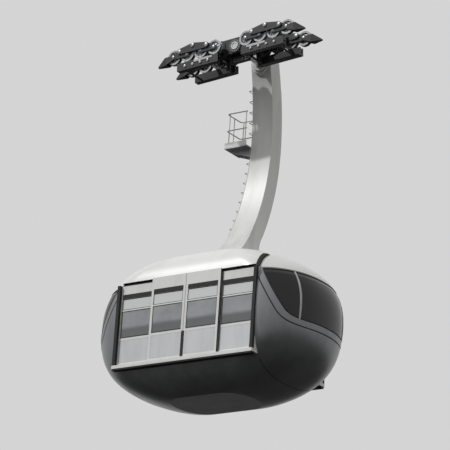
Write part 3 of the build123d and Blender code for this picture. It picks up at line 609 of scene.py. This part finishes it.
# Hanger arm and foot: a welded box arm on a plate bolted through the roof, in light grey gloss
# paint. Its flat faces and long curved edges take clean shadows, with a thin weld bead along them.
arm_grey, tree, shader = new_finish("light_grey_gloss_paint", 0.34, coat=0.3)
soil(tree, shader, "E2E2E0", "B4B4B1", patch=500, grain=10, relief=0.3, share=0.55, stretch=(1, 1, 0.15))
dress(arm_grey, "hanger_arm", "hanger_foot")
swing_z, arm_knee_z, arm_half_top, arm_half_knee = axle_z * math.cos(rope_slope), -5.0, 0.310, 0.3675
arm_y, weld_top_z, weld_inset, weld_radius, weld_steps = 1.0, -0.45, 0.004, 0.008, 40
arm_skin = surface_of("hanger_arm")
bm = bmesh.new()
for side in both:
    for end in both:
        line = []
        for i in range(weld_steps + 1):
            z = weld_top_z + (arm_knee_z - weld_top_z) * i / weld_steps
            half = arm_half_top + (arm_half_knee - arm_half_top) * (swing_z - z) / (swing_z - arm_knee_z)
            start = (cabin_x + end * (half - weld_inset), arm_y + beside_cabin * side, z)
            line.append(touch(arm_skin, start, (0, -side, 0))[0])
        add_tube(bm, line, weld_radius, sides=6)
add_piece("arm_weld_beads", bm, arm_grey, "cabin")
# Zinc-plated bolts: small dull silver points on the paint.
zinc, tree, shader = new_finish("zinc_plated_steel", 0.35, metallic=0.9)
soil(tree, shader, "A9AAAB", "77787A", patch=50, grain=4, relief=0.08)
foot_low, foot_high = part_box("hanger_foot")
plate_top, block_half = foot_low.z + 0.060, 0.560
bolt_inset, row_inset, row_gaps, foot_bolt = 0.06, 0.10, 7, 0.036
row = foot_high.y - foot_low.y - 2 * row_inset
bm = bmesh.new()
for end in both:
    for x in (block_half + bolt_inset, foot_high.x - cabin_x - bolt_inset):
        for i in range(row_gaps + 1):
            y = foot_low.y + row_inset + row * i / row_gaps
            add_bolt(bm, (cabin_x + end * x, y, plate_top), (0, 0, 1), foot_bolt)
add_piece("foot_bolts", bm, zinc, "cabin")

# Service platform and ladder: a punched aluminium deck with white toe boards bolted round it, and
# railing and step irons painted with the arm. Its punched sheet glints in dots, and its underside
# is the dark wedge on the arm.
punched_deck, tree, shader = new_finish("punched_aluminium_deck", 0.42, metallic=0.85)
place, _ = soil(tree, shader, "A6A7A8", "7D7E7F", patch=200, grain=4, relief=0.1)
punch_spacing, punch_depth = 33, 0.004
punched = add_node(tree, "TexVoronoi", {"Vector": place, "Scale": 1000 / punch_spacing, "Randomness": 0.0})
dimples = add_node(tree, "Bump", {"Height": punched.outputs["Distance"], "Distance": punch_depth})
tree.links.new(dimples.outputs["Normal"], shader.inputs["Normal"])
dress(punched_deck, "platform_deck")
dress(frame_white, "toe_boards")
dress(arm_grey, "platform_railing", "ladder_rungs")
board_low, board_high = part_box("toe_boards")
board_edge, board_end, board_bolt = 0.03, 0.08, 0.012
end_board_bolts, side_board_bolt = (0.36, 0.62), 0.37
bm = bmesh.new()
for z in (board_low.z + board_edge, board_high.z - board_edge):
    for x in (board_end, *end_board_bolts):
        add_bolt(bm, (board_low.x + x, board_low.y, z), (0, -1, 0), board_bolt)
    for y in (board_low.y + board_end, board_low.y + side_board_bolt, board_high.y - board_end):
        add_bolt(bm, (board_low.x, y, z), (-1, 0, 0), board_bolt)
add_piece("toe_board_bolts", bm, zinc, "cabin")

# Track wheels: cast steel wheels, machined on hub and rim, with a ribbed dished web and a dark liner
# pressed into the rope groove. Worn flanges catch the light between the dark plates.
machined_steel, tree, shader = new_finish("machined_cast_steel", 0.38, metallic=0.9)
soil(tree, shader, "A0A1A3", "4C4C4E", patch=60, grain=3, relief=0.1, share=0.7)
# Moulded liner: the dull black groove that makes the rims stand out as rings.
liner_black, tree, shader = new_finish("moulded_groove_liner", 0.6, ior=1.52)
soil(tree, shader, "161617", "2E2E2F", patch=50, grain=3, relief=0.2)
rope_tilt = Matrix.Rotation(-rope_slope, 4, "Y")
# The track ropes' lines, and the wheels' distances along them from the carriage's middle.
ropes, stations = {"near": -0.440, "far": 0.440}, (0.520, 0.960, 1.400, 1.840)
# Half profiles from the hub's face to the groove's middle, as (radius, y).
half_wheel = [
    (0, 0.0905), (0.036, 0.0905), (0.038, 0.0885), (0.038, 0.063), (0.060, 0.063), (0.062, 0.060),
    (0.070, 0.026), (0.142, 0.020), (0.158, 0.050), (0.162, 0.055), (0.213, 0.056), (0.216, 0.053),
    (0.216, 0.046), (0.188, 0.032), (0.170, 0.030),
]
half_liner, groove_radius = [(0.168, 0.031), (0.1885, 0.0315), (0.181, 0.026)], 0.1795
wheel_steps, wheel_ribs, rib_half, hub_bolt = 56, 8, 0.007, 0.012
rib_foot, rib_end, hub_bolt_place = (0.064, 0.019), (0.156, 0.040), (0.049, 0.063)


def mirrored(half_profile):
    """The other half of a wheel's profile."""
    return [(radius, -y) for radius, y in reversed(half_profile)]


wheel_bm, liner_bm = bmesh.new(), bmesh.new()
add_turned(wheel_bm, half_wheel + mirrored(half_wheel), (0, 0, 0), wheel_steps)
for side in both:
    low, high = (rib_foot[0], side * rib_foot[1], -rib_half), (rib_end[0], side * rib_end[1], rib_half)
    bolt_place = Vector((hub_bolt_place[0], side * hub_bolt_place[1], 0))
    for i in range(wheel_ribs):
        spoke = Matrix.Rotation(math.tau * i / wheel_ribs, 4, "Y")
        add_bar(wheel_bm, low, high, turn=spoke)
        add_bolt(wheel_bm, spoke @ bolt_place, (0, side, 0), hub_bolt)
liner_profile = half_liner + [(groove_radius, 0)] + mirrored(half_liner)
add_turned(liner_bm, liner_profile, (0, 0, 0), wheel_steps)
for bm in (wheel_bm, liner_bm):
    bm.transform(rope_tilt)
wheel_mesh = finished_mesh("wheel", wheel_bm, machined_steel)
liner_mesh = finished_mesh("liner", liner_bm, liner_black)
for rope, rope_y in ropes.items():
    for end_name, end in ends.items():
        for number, x in enumerate(stations, 1):
            name = f"{rope}_{end_name}_{number}"
            wheel = bpy.data.objects.new(f"wheel_look_{name}", wheel_mesh)
            liner = bpy.data.objects.new(f"wheel_liner_{name}", liner_mesh)
            for made in (wheel, liner):
                bpy.context.scene.collection.objects.link(made)
                made.matrix_world = Matrix.Translation(rope_tilt @ Vector((end * x, rope_y, axle_z)))
                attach(made, f"wheel_{name}")
            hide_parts(f"wheel_{name}")

# Carriage steel: rockers, balance beams, frame, brakes, guides and clamp, all welded plate in satin
# black paint that is rubbed to bare steel along its edges, so that it glints in thin lines.
satin_black, tree, shader = new_finish("satin_black_paint", 0.42, coat=0.1)
_, painted = soil(tree, shader, "111214", "2A2A2B", patch=180, grain=6, relief=0.3, share=0.7)
edge_radius, edge_begins, edge_full, edge_share = 0.006, 0.98, 0.85, 0.75
true_normal = add_node(tree, "NewGeometry").outputs["Normal"]
rounded = add_node(tree, "Bevel", {"Radius": edge_radius}, samples=4).outputs["Normal"]
turned = add_node(tree, "VectorMath", {0: true_normal, 1: rounded}, operation="DOT_PRODUCT").outputs["Value"]
rubbed = add_node(
    tree, "MapRange",
    {"Value": turned, "From Min": edge_begins, "From Max": edge_full, "To Max": edge_share},
).outputs["Result"]
worn = add_node(
    tree, "Mix", {"Factor": rubbed, "A": painted, "B": linear("9A9B9C")}, data_type="RGBA"
).outputs["Result"]
tree.links.new(worn, shader.inputs["Base Color"])
tree.links.new(rubbed, shader.inputs["Metallic"])
dress(satin_black, "wheel_rockers", "balance_beams", "carriage_frame", "rope_brakes", "rope_guides")
dress(satin_black, "haul_rope_clamp")

# Axle and pin caps: turned discs over the ends of the wheel axles and rocker pins, each pin's cap
# with six bolts. Bright rings against the black plates.
bright_steel, tree, shader = new_finish("bright_turned_steel", 0.25, metallic=1.0)
soil(tree, shader, "C9CACB", "8F9092", patch=50, grain=3, relief=0.05)
dress(bright_steel, "swing_shaft", "rocker_pins")
rocker_face, guide_face, beam_face, trunnion_face = 0.092, 0.106, 0.128, 0.142
rocker_pin_x, rocker_pin_z, trunnion_x, trunnion_z = (0.740, 1.620), 0.3095, 1.180, 0.3945
cap_steps, pin_cap_rise, cap_bolt_count, cap_bolt_ring, cap_bolt = 28, 0.009, 6, 0.044, 0.010
# Caps, as (radius, height of the rim, height of the top, radius of the top).
axle_cap, pin_cap = (0.046, 0.003, 0.005, 0.043), (0.060, 0.006, pin_cap_rise, 0.055)


def add_cap(bm, centre, side, radius, rim, top, top_radius):
    """A turned cap: straight up to its rim's height, then sloping in to a smaller top."""
    profile = [(0, 0), (radius, 0), (radius, side * rim), (top_radius, side * top), (0, side * top)]
    add_turned(bm, profile, centre, cap_steps, rope_tilt)


caps, cap_bolts = bmesh.new(), bmesh.new()
for rope_y in ropes.values():
    for side in both:
        for end in both:
            for x in stations:
                face = rope_y + side * (guide_face if x == stations[-1] else rocker_face)
                add_cap(caps, (end * x, face, axle_z), side, *axle_cap)
            outer_pins = [(x, rocker_pin_z, beam_face) for x in rocker_pin_x]
            if side * rope_y > 0:
                outer_pins.append((trunnion_x, trunnion_z, trunnion_face))
            for x, z, reach in outer_pins:
                face = rope_y + side * reach
                add_cap(caps, (end * x, face, z), side, *pin_cap)
                for i in range(cap_bolt_count):
                    angle = math.tau * i / cap_bolt_count
                    spoke = cap_bolt_ring * Vector((math.cos(angle), 0, math.sin(angle)))
                    place = Vector((end * x, face + side * pin_cap_rise, z)) + spoke
                    add_bolt(cap_bolts, place, (0, side, 0), cap_bolt, rope_tilt)
add_piece("axle_and_pin_caps", caps, machined_steel, "carriage")
add_piece("cap_bolts", cap_bolts, zinc, "carriage")

# Shaft ends: at the near end a bright flange ring is bolted into the frame's boss. The far end has
# its own ring of bolts outside the arm.
_, shaft_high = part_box("swing_shaft")
boss_face = -0.257
shaft_end = (0, boss_face, axle_z)
end_ring = [
    (0.070, 0.002), (0.070, -0.012), (0.078, -0.018), (0.112, -0.018), (0.119, -0.012), (0.119, 0.002),
]
end_plug = [(0, -0.006), (0.069, -0.006), (0.069, 0.002)]
bm = bmesh.new()
add_turned(bm, end_ring, shaft_end, 48, rope_tilt)
add_turned(bm, end_plug, shaft_end, 40, rope_tilt)
add_piece("shaft_end_ring", bm, bright_steel, "carriage")
bm = bmesh.new()
for count, radius, face, outward, across in (
    (16, 0.155, boss_face, -1, 0.022), (12, 0.128, shaft_high.y, 1, 0.018),
):
    for i in range(count):
        angle = math.tau * i / count
        place = (radius * math.cos(angle), face, axle_z + radius * math.sin(angle))
        add_bolt(bm, place, (0, outward, 0), across, rope_tilt)
add_piece("shaft_bolts", bm, zinc, "carriage")

# Carriage fittings: stiffening ribs and bolted covers on the frame's side plates, lifting eyes on
# its deck, pale covers over the brake gear and bolts through the clamp.
frame_face, frame_top, clamp_face = 0.215, 0.455, 0.062
stiffener_x, stiffener_z, stiffener_half, stiffener_rise = (0.34, 0.60), (0.05, 0.40), 0.007, 0.020
cover_x, cover_z, cover_rise, cover_bolt, cover_bolt_inset = (0.38, 0.56), (0.10, 0.34), 0.006, 0.014, 0.02
clamp_bolt_x, clamp_bolt_z, clamp_bolt = (0.12, 0.24), (-0.186, -0.114), 0.018
eye_x, eye_y, eye_rise = 0.5, 0.15, 0.022
eye = [(0.016, -0.008), (0.032, -0.008), (0.032, 0.008), (0.016, 0.008), (0.016, -0.008)]
fittings, bolts = bmesh.new(), bmesh.new()
for side in both:
    for end in both:
        for x in stiffener_x:
            low = (end * (x - stiffener_half), side * (frame_face - bite), stiffener_z[0])
            high = (end * (x + stiffener_half), side * (frame_face + stiffener_rise), stiffener_z[1])
            add_bar(fittings, low, high, turn=rope_tilt)
        low = (end * cover_x[0], side * (frame_face - bite), cover_z[0])
        high = (end * cover_x[1], side * (frame_face + cover_rise), cover_z[1])
        add_bar(fittings, low, high, turn=rope_tilt)
        for x in (cover_x[0] + cover_bolt_inset, cover_x[1] - cover_bolt_inset):
            for z in (cover_z[0] + cover_bolt_inset, cover_z[1] - cover_bolt_inset):
                place = (end * x, side * (frame_face + cover_rise), z)
                add_bolt(bolts, place, (0, side, 0), cover_bolt, rope_tilt)
        add_turned(fittings, eye, (end * eye_x, side * eye_y, frame_top + eye_rise), 24, rope_tilt)
        for x in clamp_bolt_x:
            for z in clamp_bolt_z:
                add_bolt(bolts, (end * x, side * clamp_face, z), (0, side, 0), clamp_bolt, rope_tilt)
add_piece("frame_fittings", fittings, satin_black, "carriage")
add_piece("frame_bolts", bolts, zinc, "carriage")
# Grey enamel on the brake covers and cylinders, set pale to stand for bright highlights among the
# dark plates: in part a painted highlight. Pale bars on the black carriage.
pale_grey_and_painted_highlight, tree, shader = new_finish("pale_grey_paint_and_painted_highlight", 0.4, coat=0.2)
soil(tree, shader, "D2D3D3", "8B8C8C", patch=120, grain=6, relief=0.2)
brake_face, brake_cover_rise, brake_x, brake_z = 0.084, 0.016, (0.56, 1.16), (-0.105, -0.038)
cylinder_x, cylinder_z = (0.70, 0.95, 1.20, 1.45), -0.150
cylinder = [(0, 0), (0.034, 0), (0.037, 0.004), (0.037, 0.026), (0.030, 0.030), (0, 0.030)]
bm = bmesh.new()
for rope_y in ropes.values():
    side = math.copysign(1, rope_y)
    foot_y, cover_y = (rope_y + side * (brake_face + rise) for rise in (-bite, brake_cover_rise))
    for end in both:
        low, high = (end * brake_x[0], foot_y, brake_z[0]), (end * brake_x[1], cover_y, brake_z[1])
        add_bar(bm, low, high, 0.004, rope_tilt)
        for x in cylinder_x:
            outward = [(radius, side * y) for radius, y in cylinder]
            add_turned(bm, outward, (end * x, foot_y, cylinder_z), 24, rope_tilt)
add_piece("brake_covers", bm, pale_grey_and_painted_highlight, "carriage")

# Studio: a plain pale floor at the camera's feet, far below the cabin, under a pale surrounding
# that is dim underfoot, as open ground is. One small lamp shapes the near side, and one broad lamp
# fills the far side.
camera_place = Vector((41.699, -60.054, -30.697))
floor_z, floor_size = -32.0, 6000
# Matt floor paint: even, pale and without gloss. It shows from above only, so that a view from
# below sees the cabin through it.
floor_paint, tree, shader = new_finish("pale_floor_paint", 0.9)
soil(tree, shader, "D9DADA", "D3D4D4", patch=6000, grain=50, relief=0.1)
underside = add_node(tree, "NewGeometry").outputs["Backfacing"]
unseen_below = add_node(tree, "Math", {0: 1.0, 1: underside}, operation="SUBTRACT").outputs[0]
tree.links.new(unseen_below, shader.inputs["Alpha"])
bm = bmesh.new()
floor_place = Matrix.Translation((0, 0, floor_z))
bmesh.ops.create_grid(bm, x_segments=1, y_segments=1, size=floor_size / 2, matrix=floor_place)
floor = bpy.data.objects.new("studio_floor", finished_mesh("studio_floor", bm, floor_paint))
bpy.context.scene.collection.objects.link(floor)
floor.visible_diffuse = False
floor.visible_glossy = False
floor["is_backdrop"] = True
world = bpy.data.worlds.new("studio")
bpy.context.scene.world = world
world.use_nodes = True
tree = world.node_tree
dim_below, open_above, dim_level, open_level, level_on_object = -0.28, -0.03, 0.05, 0.66, 0.70
direction = add_node(tree, "TexCoord").outputs["Generated"]
height = add_node(tree, "SeparateXYZ", {"Vector": direction}).outputs["Z"]
glow = add_node(
    tree, "MapRange",
    {
        "Value": height, "From Min": dim_below, "From Max": open_above,
        "To Min": dim_level, "To Max": open_level,
    },
    interpolation_type="SMOOTHSTEP",
).outputs["Result"]
tree.links.new(glow, tree.nodes["Background"].inputs["Color"])
# The camera, mirrors and panes see the surrounding as it is, and it lights the object a little less.
rays = add_node(tree, "LightPath").outputs
mirrored_or_through = add_node(
    tree, "Math", {0: rays["Is Glossy Ray"], 1: rays["Is Transmission Ray"]}, operation="MAXIMUM"
).outputs[0]
shown = add_node(
    tree, "Math", {0: rays["Is Camera Ray"], 1: mirrored_or_through}, operation="MAXIMUM"
).outputs[0]
level = add_node(tree, "MapRange", {"Value": shown, "To Min": level_on_object}).outputs["Result"]
tree.links.new(level, tree.nodes["Background"].inputs["Strength"])
for name, towards, strength, spread in (
    ("key_light", (-0.75, -1.0, 1.2), 1.6, 2.0), ("back_light", (-0.30, 1.0, 0.5), 0.7, 40.0),
):
    lamp = bpy.data.lights.new(name, "SUN")
    lamp.energy = strength
    lamp.angle = math.radians(spread)
    made = bpy.data.objects.new(name, lamp)
    made.rotation_mode = "QUATERNION"
    made.rotation_quaternion = Vector(towards).to_track_quat("Z", "Y")
    made.visible_glossy = name == "key_light"
    bpy.context.scene.collection.objects.link(made)

# Camera: just over the floor with a long lens, looking up at the near side and the upper nose, and
# rolled a little as it was held.
lens = bpy.data.cameras.new("camera")
lens.lens = 231.6
lens.clip_end = 2000
camera = bpy.data.objects.new("camera", lens)
bpy.context.scene.collection.objects.link(camera)
bpy.context.scene.camera = camera
aim, roll = Vector((-0.115, 0.0, -4.903)), math.radians(3.81)
camera.location = camera_place
camera.rotation_mode = "QUATERNION"
camera.rotation_quaternion = (aim - camera_place).to_track_quat("-Z", "Y") @ Quaternion((0, 0, 1), roll)
bpy.context.scene.view_settings.view_transform = "Standard"

low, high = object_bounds()
